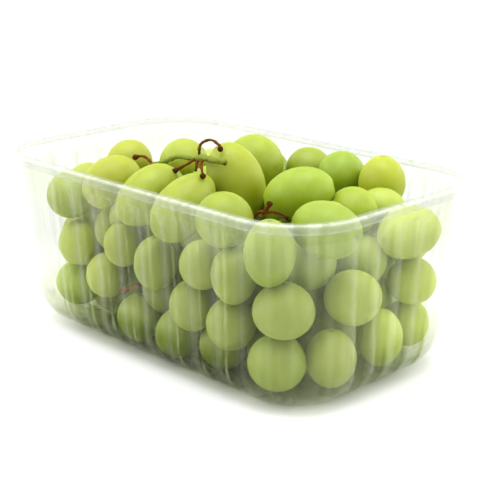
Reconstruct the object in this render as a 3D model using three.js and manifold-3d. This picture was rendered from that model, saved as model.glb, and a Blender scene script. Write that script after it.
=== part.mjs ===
// A clear plastic punnet heaped with green grapes, with bits of their stalks.
// Millimetres. X runs along the long side, Y along the short side and Z up.
// The origin is the middle of the underside of the base.
import * as THREE from "three";
import { mergeVertices } from "three/addons/utils/BufferGeometryUtils.js";
import Module from "manifold-3d";

const wasm = await Module();
wasm.setup();

// ---------- The tray ----------
const HEIGHT = 76; // from the base to the top of the rim
const RIM = { length: 188, width: 112.5, corner: 30 };
const FLANGE = 4; // how far the rim stands out from the wall
const SKIRT = 3.4; // how far the rim's edge turns down
const SHEET = 0.6; // thickness of the plastic
const TAPER = 4.3; // how much each wall leans in on its way down
const BASE_RADIUS = 15; // the bend between wall and base
const CORNER = 26; // radius of the upright corners
const FLUTE_DEPTH = 1.2;
const FLUTE_FADE = 4; // the flutes die out this far below the rim
const FLUTES = { long: 9, short: 4 }; // grooves in the straight stretch of each side
const FLUTE_STEPS = 2;
const CORNER_STEPS = 5;
const BEND_STEPS = 3;

// ---------- The grapes ----------
const CLEARANCE = 2.5; // from the wall's outer face to a grape: the flute, the sheet and a little air
const FLOOR_CLEARANCE = 2;
const HEAP_SLACK = 1; // how far the fill may rise above its ceiling as it settles

// Grapes that press on the front wall: place along it, height, half height and half width.
const FRONT_GRAPES = [
  [-56, 19, 10, 10.3],
  [-15, 13, 10, 9.2],
  [8, 12, 10.2, 9],
  [66, 17, 10.8, 11],
  [-34, 28, 9.6, 8.9],
  [19, 28, 10.5, 9.2],
  [40, 26, 10.3, 9.5],
  [66, 37, 10.6, 11.4],
  [-51, 39, 9.8, 9.2],
  [-20, 45, 9.5, 8],
  [-1, 41, 11, 8.6],
  [27, 47, 9.6, 8.8],
  [44, 46, 11, 8.8],
  [-56.5, 59, 10.2, 10],
  [63, 59, 12.5, 9.5],
];
// The same for the grapes that press on the right wall.
const RIGHT_GRAPES = [
  [-20, 17, 11.3, 9.6],
  [7, 18, 11.5, 9],
  [-4, 37, 10.6, 11],
  [28.5, 33.5, 9.5, 9.8],
];
// Grapes of the crown, and a few behind the walls' own: middle, half length, half width,
// and which way the length points, as a bearing from X and a rise, in degrees.
const CROWN_GRAPES = [
  [-56, -8, 66, 10.5, 10, 0, 0],
  [-34, -33, 67, 13, 10.5, 70, 25],
  [-12, -33, 66, 15, 10, 80, 35],
  [12, -36, 66, 16, 10.5, 85, 38],
  [-30, 3, 69.4, 10.9, 10.5, 0, 0],
  [14, -8, 71.5, 16, 11, 200, 65],
  [-2, 17, 72, 13, 11.8, 0, 0],
  [39, -40, 67, 11.5, 10.5, 0, 0],
  [46, -1, 69.5, 14, 10, 40, 15],
  [71, -19, 64.5, 14.5, 10.6, 0, 0],
  [12, 36, 68, 10, 9.7, 0, 0],
  [32, 34, 70, 10, 9.6, 0, 0],
  [52, 36, 70, 10.5, 9.6, 0, 90],
  [58, 8, 62.5, 10, 9.5, 0, 0],
  [77, 20, 54.5, 15.5, 10, 90, 0],
  [60, -15, 50, 10.5, 10, 0, 90],
  [-38, -30, 46, 10, 9, 0, 90],
  [-64, -21, 58, 10, 9.5, 0, 0],
  [66, -5, 22, 10.5, 9.5, 0, 90],
  [68, 10, 50, 10, 9.3, 0, 90],
  [30, -31, 13, 9.8, 9.4, 0, 0],
  [71, 30, 19, 10, 8.8, 0, 90],
];
// The rest of the heap: layers of grapes behind those, in a loose grid.
const FILL = {
  first: [-79, -18.5, 11.5],
  pitch: [21.5, 20, 16.4],
  count: [8, 4, 4],
  jitter: [2, 2, 1],
  halfWidth: [9.2, 10.6],
  stretch: [1.02, 1.25],
  nearest: 15.5, // a grape closer than this to one already there is left out
  rightEnd: 66,
};
const LEFT_END = { x: -62, ceiling: 50, frontEdge: -12 }; // the heap is lower at the left end
const CEILING = { front: 61, back: 60 }; // highest middle of a grape of the fill
const DIP = { x: [20, 64], y: [-30, -8], ceiling: 50 }; // a hollow in the crown
const GRAPE_SIDES = 8;
const GRAPE_RINGS = 5;
const FACET_SWELL = 1.05; // makes up for some of what the facets cut off a round grape
const SETTLE_PASSES = 80;
const SETTLE_STEP = 0.6; // share of an overlap that one pass takes out
const HELD = 0.03; // how far a placed grape gives way, against 1 for the fill
const PRESSED = 0.3; // how far two grapes may sink into each other
const REACH = 30; // grapes whose middles are further apart never touch
const CORE = { halfLength: 71, halfWidth: 37, corner: 16, shift: 3, bottom: 3, top: 60 };
const LEAST_SHOWN = 5; // a grape that stands out of the core by less is left to it

// ---------- The stalks ----------
// Each twig is its thickness and the points it runs through, and may end in the knob a grape hung from.
const STALKS = {
  stalk_top: [
    { radius: 0.9, path: [[-34, -12, 71], [-28, -10, 73], [-21, -9, 76], [-12, -10, 77], [-4, -13, 79]] },
    { radius: 1.2, path: [[-6, -12, 78], [4, -17, 81], [12, -20, 82], [19, -19, 82]] },
    { radius: 0.6, knob: true, path: [[-33, -12, 71], [-39, -11, 73], [-43, -11, 73], [-46, -12, 72]] },
    {
      radius: 0.6,
      knob: true,
      path: [[-3, -13, 79], [-1, -14, 85], [5, -14, 88], [11, -15, 87], [14, -17, 86]],
    },
    { radius: 0.65, knob: true, path: [[-4, -13, 79], [-5, -18, 77], [-6, -24, 75]] },
    { radius: 0.65, path: [[-3, -14, 79], [1, -18, 78], [5, -22, 77]] },
    { radius: 0.6, knob: true, path: [[4, -17, 81], [9, -23, 80], [14, -27, 80], [18, -30, 78]] },
  ],
  stalk_front: [
    { radius: 0.65, path: [[43, -28, 66], [46, -28, 69], [50, -28, 70], [56, -28, 71], [61, -28, 70]] },
    { radius: 0.65, knob: true, path: [[49, -28, 70], [51, -28, 72], [52, -28, 74]] },
  ],
  stalk_side: [{ radius: 1.0, path: [[-19, -43, 25], [-14, -44, 28], [-8, -44, 31], [-3, -43, 33]] }],
};
const KNOB = 1.5; // radius
const STALK_SIDES = 4;
const STEPS_PER_POINT = 2;
const STALK_GAP = 0.3; // air between a stalk and the grapes

// ---------- Helpers ----------
const X = new THREE.Vector3(1, 0, 0);
const Y = new THREE.Vector3(0, 1, 0);
const Z = new THREE.Vector3(0, 0, 1);

// A repeatable run of numbers between low and high.
function randomFrom(seed) {
  let state = seed;
  return (low, high) => {
    state = (state * 16807) % 2147483647;
    return low + ((high - low) * state) / 2147483647;
  };
}

function solidOf(geometry) {
  const bare = geometry.clone();
  bare.deleteAttribute("normal");
  bare.deleteAttribute("uv");
  const merged = mergeVertices(bare, 1e-4);
  return new wasm.Manifold(
    new wasm.Mesh({
      numProp: 3,
      vertProperties: merged.attributes.position.array,
      triVerts: new Uint32Array(merged.index.array),
    }),
  );
}

function geometryOf(solid) {
  const mesh = solid.getMesh();
  const geometry = new THREE.BufferGeometry();
  geometry.setAttribute("position", new THREE.BufferAttribute(mesh.vertProperties, 3));
  geometry.setIndex(new THREE.BufferAttribute(mesh.triVerts, 1));
  geometry.computeVertexNormals();
  return geometry;
}

const joined = (solids) => solids.reduce((all, next) => all.add(next));
const largestBody = (solid) => solid.decompose().reduce((a, b) => (a.volume() > b.volume() ? a : b));

// ---------- The tray ----------
// Half sizes of the wall's outer face at a height.
function wallHalfSizes(z) {
  const lean = TAPER * (1 - z / HEIGHT);
  return { x: RIM.length / 2 - FLANGE - lean, y: RIM.width / 2 - FLANGE - lean };
}

// The stations round the tray: so far along a straight side, or so far round a corner.
function trayStations() {
  const stations = [];
  for (let side = 0; side < 4; side++) {
    const count = (side % 2 ? FLUTES.long : FLUTES.short) * FLUTE_STEPS;
    for (let i = 0; i < count; i++) {
      const flute = (1 - Math.cos((2 * Math.PI * i) / FLUTE_STEPS)) / 2;
      stations.push({ side, along: (2 * i) / count - 1, turn: 0, flute });
    }
    for (let i = 0; i < CORNER_STEPS; i++) {
      stations.push({ side, along: 1, turn: (i / CORNER_STEPS) * (Math.PI / 2), flute: 0 });
    }
  }
  return stations;
}

// One closed ring round the tray at a height.
function trayRing(half, corner, z, fluteDepth = 0) {
  return trayStations().map(({ side, along, turn, flute }) => {
    const reach = side % 2 ? half.y : half.x;
    const straight = (side % 2 ? half.x : half.y) - corner;
    const out = reach - corner * (1 - Math.cos(turn)) - flute * fluteDepth;
    const across = straight * along + corner * Math.sin(turn);
    return new THREE.Vector3(out, across, z).applyAxisAngle(Z, (side * Math.PI) / 2);
  });
}

function rimRing(inset, z) {
  return trayRing({ x: RIM.length / 2 - inset, y: RIM.width / 2 - inset }, RIM.corner - inset, z);
}

function wallRing(inset, z, fluteDepth = 0) {
  const { x, y } = wallHalfSizes(z);
  return trayRing({ x: x - inset, y: y - inset }, CORNER - inset, z, fluteDepth);
}

// The rings of the bend between base and wall, for the outer or the inner face.
function bendRings(sheet) {
  const radius = BASE_RADIUS - sheet;
  return Array.from({ length: BEND_STEPS + 1 }, (_, i) => {
    const angle = (i / BEND_STEPS) * (Math.PI / 2);
    const inset = BASE_RADIUS - radius * Math.sin(angle);
    return wallRing(inset, BASE_RADIUS - radius * Math.cos(angle), FLUTE_DEPTH * (i / BEND_STEPS));
  });
}

// A closed skin through the rings, with a flat cap on the first and the last.
function skinThrough(rings) {
  const count = rings[0].length;
  const first = new THREE.Vector3(0, 0, rings[0][0].z);
  const last = new THREE.Vector3(0, 0, rings.at(-1)[0].z);
  const points = [...rings.flat(), first, last];
  const faces = [];
  rings.forEach((_, row) => {
    for (let i = 0; i < count; i++) {
      const a = row * count + i;
      const b = row * count + ((i + 1) % count);
      if (row === 0) faces.push(points.length - 2, b, a);
      if (row === rings.length - 1) faces.push(points.length - 1, a, b);
      else faces.push(a, b, b + count, a, b + count, a + count);
    }
  });
  return new THREE.BufferGeometry().setFromPoints(points).setIndex(faces);
}

function tray() {
  const fluteTop = HEIGHT - FLUTE_FADE;
  const outside = [...bendRings(0), wallRing(0, fluteTop, FLUTE_DEPTH), wallRing(0, HEIGHT - SHEET)];
  const rim = [
    rimRing(SHEET, HEIGHT - SHEET),
    rimRing(SHEET, HEIGHT - SKIRT),
    rimRing(0, HEIGHT - SKIRT),
    rimRing(0, HEIGHT - SHEET),
    rimRing(SHEET, HEIGHT),
  ];
  const innerWall = [wallRing(SHEET, HEIGHT), wallRing(SHEET, fluteTop, FLUTE_DEPTH)];
  const innerBend = bendRings(SHEET).reverse();
  return skinThrough([...outside, ...rim, ...innerWall, ...innerBend]);
}

// ---------- The grapes ----------
function grape(middle, halfLength, halfWidth, bearing, rise, give) {
  const b = THREE.MathUtils.degToRad(bearing);
  const r = THREE.MathUtils.degToRad(rise);
  const axis = new THREE.Vector3(Math.cos(b) * Math.cos(r), Math.sin(b) * Math.cos(r), Math.sin(r));
  return { middle: new THREE.Vector3(...middle), halfLength, halfWidth, axis, give };
}

// The grapes that are placed one by one.
function placedGrapes() {
  const onFront = FRONT_GRAPES.map(([x, z, halfHeight, halfWidth]) =>
    grape([x, CLEARANCE + halfWidth - wallHalfSizes(z).y, z], halfHeight, halfWidth, 0, 90, HELD),
  );
  const onRight = RIGHT_GRAPES.map(([y, z, halfHeight, halfWidth]) =>
    grape([wallHalfSizes(z).x - CLEARANCE - halfWidth, y, z], halfHeight, halfWidth, 0, 90, HELD),
  );
  const crown = CROWN_GRAPES.map(([x, y, z, ...shape]) => grape([x, y, z], ...shape, HELD));
  return [...onFront, ...onRight, ...crown];
}

function ceilingAt({ x, y }) {
  if (x < LEFT_END.x) return LEFT_END.ceiling;
  const inDip = x > DIP.x[0] && x < DIP.x[1] && y > DIP.y[0] && y < DIP.y[1];
  if (inDip) return DIP.ceiling;
  return y > 0 ? CEILING.back : CEILING.front;
}

// Adds the grid of further grapes where there is room.
function addFill(grapes) {
  const random = randomFrom(7);
  const [columns, rows, layers] = FILL.count;
  const spots = [];
  for (let layer = 0; layer < layers; layer++) {
    for (let row = 0; row < rows; row++) {
      for (let column = 0; column < columns; column++) {
        const stagger = ((row + layer) % 2) * 0.5;
        const place = (n, k) => FILL.first[k] + n * FILL.pitch[k] + random(-1, 1) * FILL.jitter[k];
        const middle = [column + stagger, row, layer].map(place);
        const halfWidth = random(...FILL.halfWidth);
        const halfLength = halfWidth * random(...FILL.stretch);
        spots.push(grape(middle, halfLength, halfWidth, random(0, 360), random(-60, 90), 1));
      }
    }
  }
  for (const spot of spots) {
    const { x, y, z } = spot.middle;
    const inEmptyCorner = x > FILL.rightEnd || (x < LEFT_END.x && y < LEFT_END.frontEdge);
    const crowded = grapes.some((other) => other.middle.distanceTo(spot.middle) < FILL.nearest);
    if (z <= ceilingAt(spot.middle) && !inEmptyCorner && !crowded) grapes.push(spot);
  }
}

// How far a grape's skin is from its middle along a direction.
function skinDistance({ axis, halfLength, halfWidth }, direction) {
  const c = direction.dot(axis);
  return 1 / Math.sqrt((c / halfLength) ** 2 + (1 - c * c) / halfWidth ** 2);
}

// How far a grape reaches in a direction.
function extent({ axis, halfLength, halfWidth }, direction) {
  const c = direction.dot(axis);
  return Math.sqrt((halfLength * c) ** 2 + halfWidth ** 2 * (1 - c * c));
}

// The outer face of the tray nearest to a point: how far it is, and which way.
function nearestWall({ x, y, z }) {
  const half = wallHalfSizes(z);
  const pastX = Math.abs(x) - (half.x - CORNER);
  const pastY = Math.abs(y) - (half.y - CORNER);
  const normal = new THREE.Vector3();
  if (pastX > 0 && pastY > 0) normal.set(pastX * Math.sign(x), pastY * Math.sign(y), 0).normalize();
  else if (pastX > pastY) normal.x = Math.sign(x);
  else normal.y = Math.sign(y);
  const past = pastX > 0 && pastY > 0 ? Math.hypot(pastX, pastY) : Math.max(pastX, pastY);
  const distance = CORNER - past;
  if (z >= BASE_RADIUS || distance >= BASE_RADIUS) return { distance, normal };
  // In the bend the nearest face is also below.
  const inward = BASE_RADIUS - distance;
  const upward = BASE_RADIUS - z;
  const span = Math.hypot(inward, upward);
  normal.multiplyScalar(inward / span).setZ(-upward / span);
  return { distance: BASE_RADIUS - span, normal };
}

function pushApart(a, b) {
  const direction = b.middle.clone().sub(a.middle);
  const distance = direction.length();
  if (distance > REACH) return;
  direction.divideScalar(distance);
  const overlap = skinDistance(a, direction) + skinDistance(b, direction) - PRESSED - distance;
  if (overlap <= 0) return;
  const step = (overlap * SETTLE_STEP) / (a.give + b.give);
  a.middle.addScaledVector(direction, -step * a.give);
  b.middle.addScaledVector(direction, step * b.give);
}

function keepInside(g) {
  const { distance, normal } = nearestWall(g.middle);
  const push = extent(g, normal) + CLEARANCE - distance;
  if (push > 0) g.middle.addScaledVector(normal, -push);
  g.middle.z = Math.max(g.middle.z, extent(g, Z) + FLOOR_CLEARANCE);
  if (g.give === 1) g.middle.z = Math.min(g.middle.z, ceilingAt(g.middle) + HEAP_SLACK);
}

// Every grape of the heap, pushed apart until they only touch.
function layOutGrapes() {
  const grapes = placedGrapes();
  addFill(grapes);
  for (let pass = 0; pass < SETTLE_PASSES; pass++) {
    grapes.forEach((a, i) => grapes.slice(0, i).forEach((b) => pushApart(a, b)));
    grapes.forEach(keepInside);
  }
  return grapes;
}

function grapeGeometry({ middle, axis, halfLength, halfWidth }) {
  return new THREE.SphereGeometry(1, GRAPE_SIDES, GRAPE_RINGS)
    .rotateX(Math.PI / 2)
    .scale(halfWidth * FACET_SWELL, halfWidth * FACET_SWELL, halfLength * FACET_SWELL)
    .applyQuaternion(new THREE.Quaternion().setFromUnitVectors(Z, axis))
    .translate(middle.x, middle.y, middle.z);
}

// A block inside the heap that joins its grapes.
function coreGeometry() {
  const outline = new THREE.Shape();
  const x = CORE.halfLength - CORE.corner;
  const y = CORE.halfWidth - CORE.corner;
  outline.absarc(x, y, CORE.corner, 0, Math.PI / 2);
  outline.absarc(-x, y, CORE.corner, Math.PI / 2, Math.PI);
  outline.absarc(-x, -y, CORE.corner, Math.PI, 1.5 * Math.PI);
  outline.absarc(x, -y, CORE.corner, 1.5 * Math.PI, 2 * Math.PI);
  const block = { depth: CORE.top - CORE.bottom, bevelEnabled: false, curveSegments: 3 };
  return new THREE.ExtrudeGeometry(outline, block).translate(CORE.shift, 0, CORE.bottom);
}

// Whether a grape stands out of the core enough to show.
function shows(g) {
  const { x, y, z } = g.middle;
  const pastEnd = Math.abs(x - CORE.shift) + extent(g, X) - CORE.halfLength;
  const pastSide = Math.abs(y) + extent(g, Y) - CORE.halfWidth;
  const pastTop = z + extent(g, Z) - CORE.top;
  return Math.max(pastEnd, pastSide, pastTop) > LEAST_SHOWN;
}

// The heap as one solid, with room cut in it for the stalks.
function grapes(stalks) {
  const pieces = [coreGeometry(), ...layOutGrapes().filter(shows).map(grapeGeometry)];
  const heap = joined(pieces.map(solidOf));
  return geometryOf(largestBody(heap.subtract(stalks)));
}

// ---------- The stalks ----------
function twigGeometry({ radius, path }, extra) {
  const corner = (_, i) => {
    const angle = (2 * Math.PI * i) / STALK_SIDES;
    return new THREE.Vector2(Math.cos(angle), Math.sin(angle)).multiplyScalar(radius + extra);
  };
  const section = new THREE.Shape(Array.from({ length: STALK_SIDES }, corner));
  const extrudePath = new THREE.CatmullRomCurve3(path.map((point) => new THREE.Vector3(...point)));
  const steps = STEPS_PER_POINT * (path.length - 1);
  return new THREE.ExtrudeGeometry(section, { steps, extrudePath, bevelEnabled: false });
}

function knobGeometry({ path }, extra) {
  return new THREE.IcosahedronGeometry(KNOB + extra, 0).translate(...path.at(-1));
}

// A stalk made of its twigs, or the room it needs when extra is more than 0.
function stalk(twigs, extra = 0) {
  const pieces = twigs.map((twig) => twigGeometry(twig, extra));
  const knobs = twigs.filter((twig) => twig.knob).map((twig) => knobGeometry(twig, extra));
  return joined([...pieces, ...knobs].map(solidOf));
}

// ---------- The whole ----------
const PLASTIC = new THREE.MeshStandardMaterial({
  color: 0xf1f5f0,
  roughness: 0.12,
  metalness: 0,
  transparent: true,
  opacity: 0.3,
});
const GRAPE_SKIN = new THREE.MeshStandardMaterial({ color: 0xb2cf54, roughness: 0.4, metalness: 0 });
const STALK_WOOD = new THREE.MeshStandardMaterial({ color: 0x6e5a2c, roughness: 0.75, metalness: 0 });

function named(name, geometry, material) {
  const mesh = new THREE.Mesh(geometry, material);
  mesh.name = name;
  return mesh;
}

const group = new THREE.Group();
const room = joined(Object.values(STALKS).map((twigs) => stalk(twigs, STALK_GAP)));
group.add(named("tray", tray(), PLASTIC));
group.add(named("grapes", grapes(room), GRAPE_SKIN));
for (const [name, twigs] of Object.entries(STALKS)) {
  group.add(named(name, geometryOf(largestBody(stalk(twigs))), STALK_WOOD));
}

export default group;
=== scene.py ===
"""A clear fluted punnet heaped with green grapes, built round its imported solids.

The layout of the grapes and the route of the stalks are worked out in millimetres, as in the part's own
source, and become metres where a mesh is made.
"""

import math

import bpy
import numpy as np
from mathutils import Matrix, Vector


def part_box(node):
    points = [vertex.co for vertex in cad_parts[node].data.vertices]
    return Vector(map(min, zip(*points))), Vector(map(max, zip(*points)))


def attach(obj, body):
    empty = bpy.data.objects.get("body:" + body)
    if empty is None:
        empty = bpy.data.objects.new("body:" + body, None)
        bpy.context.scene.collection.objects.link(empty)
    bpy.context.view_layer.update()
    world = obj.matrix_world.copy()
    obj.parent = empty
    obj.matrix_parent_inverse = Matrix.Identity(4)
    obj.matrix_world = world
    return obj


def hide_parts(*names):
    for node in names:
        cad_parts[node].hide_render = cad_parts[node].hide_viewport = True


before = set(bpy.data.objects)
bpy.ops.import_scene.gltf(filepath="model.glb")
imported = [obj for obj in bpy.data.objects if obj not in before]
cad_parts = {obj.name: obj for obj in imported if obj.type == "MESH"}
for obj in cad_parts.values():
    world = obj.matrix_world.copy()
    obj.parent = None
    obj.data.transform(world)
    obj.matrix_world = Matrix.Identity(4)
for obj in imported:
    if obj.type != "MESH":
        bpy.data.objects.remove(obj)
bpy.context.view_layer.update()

MM = 0.001

# ---------- Sizes, in millimetres ----------
TRAY_LOW, TRAY_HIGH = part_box("tray")
HEIGHT = (TRAY_HIGH.z - TRAY_LOW.z) / MM
RIM_LENGTH = (TRAY_HIGH.x - TRAY_LOW.x) / MM
RIM_WIDTH = (TRAY_HIGH.y - TRAY_LOW.y) / MM
RIM_CORNER = 30
FLANGE = 4  # how far the rim stands out from the wall
SKIRT = 3.4  # how far the rim's edge turns down
SHEET = 0.6  # thickness of the plastic
TAPER = 4.3  # how much each wall leans in on its way down
BASE_RADIUS = 15  # the bend between wall and base
CORNER = 26  # radius of the upright corners
FLUTE_DEPTH = 1.2
FLUTES = {"long": 9, "short": 4}  # grooves in the straight stretch of each side
CLEARANCE = 2.5  # from the wall's outer face to a grape: the flute, the sheet and a little air
FLOOR_CLEARANCE = 2
HEAP_SLACK = 1  # how far the fill may rise above its ceiling as it settles

# Grapes that lie against the front wall: place along it, height, half height and half width. The last
# number of these and of the next two lists is how ripe a grape is, from 0, green, to 1, yellow.
FRONT_GRAPES = [
    (-56, 19, 10, 10.3, 0.3),
    (-15, 13, 10, 9.2, 0.4),
    (8, 12, 10.2, 9, 0.3),
    (66, 17, 10.8, 11, 0.2),
    (-34, 28, 9.6, 8.9, 0.6),
    (19, 28, 10.5, 9.2, 0.3),
    (40, 26, 10.3, 9.5, 0.3),
    (66, 37, 10.6, 11.4, 0.3),
    (-51, 39, 9.8, 9.2, 0.6),
    (-20, 45, 9.5, 8, 0.6),
    (-1, 41, 11, 8.6, 0.4),
    (27, 47, 9.6, 8.8, 0.5),
    (44, 46, 11, 8.8, 0.3),
    (-56.5, 59, 10.2, 10, 0.4),
    (63, 59, 12.5, 9.5, 0.2),
]
# The same for the grapes that lie against the right wall.
RIGHT_GRAPES = [
    (-20, 17, 11.3, 9.6, 0.5),
    (7, 18, 11.5, 9, 0.5),
    (-4, 37, 10.6, 11, 0.4),
    (28.5, 33.5, 9.5, 9.8, 0.6),
]
# Grapes of the crown, and a few behind the walls' own: middle, half length, half width, and which
# way the length points, as a bearing from X and a rise, in degrees.
CROWN_GRAPES = [
    (-56, -8, 66, 10.5, 10, 0, 0, 1.0),
    (-34, -33, 67, 13, 10.5, 70, 25, 0.9),
    (-12, -33, 66, 15, 10, 80, 35, 0.6),
    (12, -36, 66, 16, 10.5, 85, 38, 0.6),
    (-30, 3, 69.4, 10.9, 10.5, 0, 0, 0.6),
    (14, -8, 71.5, 16, 11, 200, 65, 0.7),
    (-2, 17, 72, 13, 11.8, 0, 0, 0.4),
    (39, -40, 67, 11.5, 10.5, 0, 0, 0.4),
    (46, -1, 69.5, 14, 10, 40, 15, 0.1),
    (71, -19, 64.5, 14.5, 10.6, 0, 0, 0.1),
    (12, 36, 68, 10, 9.7, 0, 0, 0.4),
    (32, 34, 70, 10, 9.6, 0, 0, 0.0),
    (52, 36, 70, 10.5, 9.6, 0, 90, 0.8),
    (58, 8, 62.5, 10, 9.5, 0, 0, 0.3),
    (77, 20, 54.5, 15.5, 10, 90, 0, 0.6),
    (60, -15, 50, 10.5, 10, 0, 90, 0.1),
    (-38, -30, 46, 10, 9, 0, 90, 0.7),
    (-64, -21, 58, 10, 9.5, 0, 0, 0.7),
    (66, -5, 22, 10.5, 9.5, 0, 90, 0.2),
    (68, 10, 50, 10, 9.3, 0, 90, 0.3),
    (30, -31, 13, 9.8, 9.4, 0, 0, 0.4),
    (71, 30, 19, 10, 8.8, 0, 90, 0.5),
]

# The rest of the heap: layers of grapes behind those, in a loose grid.
FILL = {
    "seed": 7,
    "first": (-79, -18.5, 11.5),
    "pitch": (21.5, 20, 16.4),
    "count": (8, 4, 4),
    "jitter": (2, 2, 1),
    "half_width": (9.2, 10.6),
    "stretch": (1.02, 1.25),
    "rise": (-60, 90),
    "nearest": 15.5,  # a grape closer than this to one already there is left out
    "right_end": 66,
}
LEFT_END = {"x": -62, "ceiling": 50, "front_edge": -12}  # the heap is lower at the left end
CEILING = {"front": 61, "back": 60}  # highest middle of a grape of the fill
DIP = {"x": (20, 64), "y": (-30, -8), "ceiling": 50}  # a hollow in the crown
SETTLE_PASSES = 80
SETTLE_STEP = 0.6  # share of an overlap that one pass takes out
HELD = 0.03  # how far a placed grape gives way, against 1 for the fill
PRESSED = 0.3  # how far two grapes may sink into each other
REACH = 30  # grapes whose middles are further apart are taken not to touch
# A grape is pale up to the first height and not at all from the second: a painted veil of light, such as the
# milky sheet lays over the grapes behind it. Those of the fill are less so.
PALE = {"heights": (45, 64), "placed": 1.0, "fill": 0.8}

# Each twig is its radius and the points it runs through, and may end in the knob a grape hung from.
STALKS = {
    "stalk_top": [
        {
            "radius": 0.9,
            "path": [(-34, -12, 71), (-28, -10, 73), (-21, -9, 76), (-12, -10, 77), (-4, -13, 79)],
        },
        {"radius": 1.2, "path": [(-6, -12, 78), (4, -17, 81), (12, -20, 82), (19, -19, 82)]},
        {
            "radius": 0.6,
            "knob": True,
            "path": [(-33, -12, 71), (-39, -11, 73), (-43, -11, 73), (-46, -12, 72)],
        },
        {
            "radius": 0.6,
            "knob": True,
            "path": [(-3, -13, 79), (-1, -14, 85), (5, -14, 88), (11, -15, 87), (14, -17, 86)],
        },
        {"radius": 0.65, "knob": True, "path": [(-4, -13, 79), (-5, -18, 77), (-6, -24, 75)]},
        {"radius": 0.65, "path": [(-3, -14, 79), (1, -18, 78), (5, -22, 77)]},
        {"radius": 0.6, "knob": True, "path": [(4, -17, 81), (9, -23, 80), (14, -27, 80), (18, -30, 78)]},
    ],
    "stalk_front": [
        {"radius": 0.65, "path": [(43, -28, 66), (46, -28, 69), (50, -28, 70), (56, -28, 71), (61, -28, 70)]},
        {"radius": 0.65, "knob": True, "path": [(49, -28, 70), (51, -28, 72), (52, -28, 74)]},
    ],
    "stalk_side": [
        {
            "radius": 1.0,
            "brown": True,
            "path": [(-19, -43, 25), (-14, -44, 28), (-8, -44, 31), (-3, -43, 33)],
        },
    ],
}

CAMERA = {
    "aim": (-22.9, 29.5, 30.1),
    "distance": 553.1,
    "bearing": 46.1,  # degrees round from the front, towards the right end
    "height": 17.26,  # degrees above the floor
    "roll": -0.49,
    "lens": 91.8,
    "sensor": 36,
}
# How bright the room is: at least, and how much more so overhead and at both ends of the direction that runs
# across the picture. The camera sees it plain white.
ROOM = {"least": 0.48, "overhead": 0.9, "sides": 2.4, "across": (0.69, 0.72, 0.0), "seen": 1.0}
LAMP = {"power": 2.3, "spread": 50, "tilt": 4}  # spread and tilt in degrees


# ---------- The layout of the heap, as in the part's source ----------
def random_from(seed):
    """A repeatable run of numbers between low and high."""
    factor, modulus = 16807, 2**31 - 1
    state = seed

    def draw(low, high):
        nonlocal state
        state = state * factor % modulus
        return low + (high - low) * state / modulus

    return draw


def smooth(value, low, high):
    """0 below low, 1 above high, and smoothly between."""
    share = min(max((value - low) / (high - low), 0), 1)
    return share * share * (3 - 2 * share)


def wall_half_sizes(z):
    """Half the tray's length and width at a height, without its rim."""
    lean = TAPER * (1 - z / HEIGHT)
    return RIM_LENGTH / 2 - FLANGE - lean, RIM_WIDTH / 2 - FLANGE - lean


class Grape:
    """One grape: its middle, half sizes and turn, how it gives way, and how ripe and how pale it is."""

    def __init__(self, middle, half_length, half_width, bearing, rise, ripe, give, pale=PALE["placed"]):
        b, r = math.radians(bearing), math.radians(rise)
        self.middle = [float(value) for value in middle]
        self.half_length = half_length
        self.half_width = half_width
        self.axis = (math.cos(b) * math.cos(r), math.sin(b) * math.cos(r), math.sin(r))
        self.ripe = ripe
        self.give = give
        self.pale = pale * (1 - smooth(middle[2], *PALE["heights"]))

    def skin_distance(self, direction):
        """From its middle to its skin."""
        c = sum(p * q for p, q in zip(direction, self.axis))
        return 1 / math.sqrt((c / self.half_length) ** 2 + (1 - c * c) / self.half_width**2)

    def extent(self, direction):
        """From its middle to the plane across the direction that just touches it."""
        c = sum(p * q for p, q in zip(direction, self.axis))
        return math.sqrt((self.half_length * c) ** 2 + self.half_width**2 * max(1 - c * c, 0))


def placed_grapes():
    """Those of the three lists."""
    grapes = []
    for x, z, half_height, half_width, ripe in FRONT_GRAPES:
        y = CLEARANCE + half_width - wall_half_sizes(z)[1]
        grapes.append(Grape((x, y, z), half_height, half_width, 0, 90, ripe, HELD))
    for y, z, half_height, half_width, ripe in RIGHT_GRAPES:
        x = wall_half_sizes(z)[0] - CLEARANCE - half_width
        grapes.append(Grape((x, y, z), half_height, half_width, 0, 90, ripe, HELD))
    for x, y, z, *shape in CROWN_GRAPES:
        grapes.append(Grape((x, y, z), *shape, HELD))
    return grapes


def ceiling_at(x, y):
    """The highest middle of a grape of the fill."""
    if x < LEFT_END["x"]:
        return LEFT_END["ceiling"]
    if DIP["x"][0] < x < DIP["x"][1] and DIP["y"][0] < y < DIP["y"][1]:
        return DIP["ceiling"]
    return CEILING["back"] if y > 0 else CEILING["front"]


def fill_grapes():
    """A loose grid of grapes through the whole punnet."""
    draw = random_from(FILL["seed"])
    columns, rows, layers = FILL["count"]
    spots = []
    for layer in range(layers):
        for row in range(rows):
            for column in range(columns):
                stagger = ((row + layer) % 2) * 0.5
                grid = (column + stagger, row, layer)
                middle = [
                    FILL["first"][k] + grid[k] * FILL["pitch"][k] + draw(-1, 1) * FILL["jitter"][k]
                    for k in range(3)
                ]
                half_width = draw(*FILL["half_width"])
                half_length = half_width * draw(*FILL["stretch"])
                bearing, rise = draw(0, 360), draw(*FILL["rise"])
                ripe = 0.5 + 0.5 * math.sin(len(spots))
                spots.append(Grape(middle, half_length, half_width, bearing, rise, ripe, 1, PALE["fill"]))
    return spots


def add_fill(grapes):
    """Adds the grapes of the fill for which there is room."""
    for spot in fill_grapes():
        x, y, z = spot.middle
        in_empty_corner = x > FILL["right_end"] or (x < LEFT_END["x"] and y < LEFT_END["front_edge"])
        crowded = any(math.dist(g.middle, spot.middle) < FILL["nearest"] for g in grapes)
        if z <= ceiling_at(x, y) and not in_empty_corner and not crowded:
            grapes.append(spot)


def sign(value):
    return (value > 0) - (value < 0)


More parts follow.
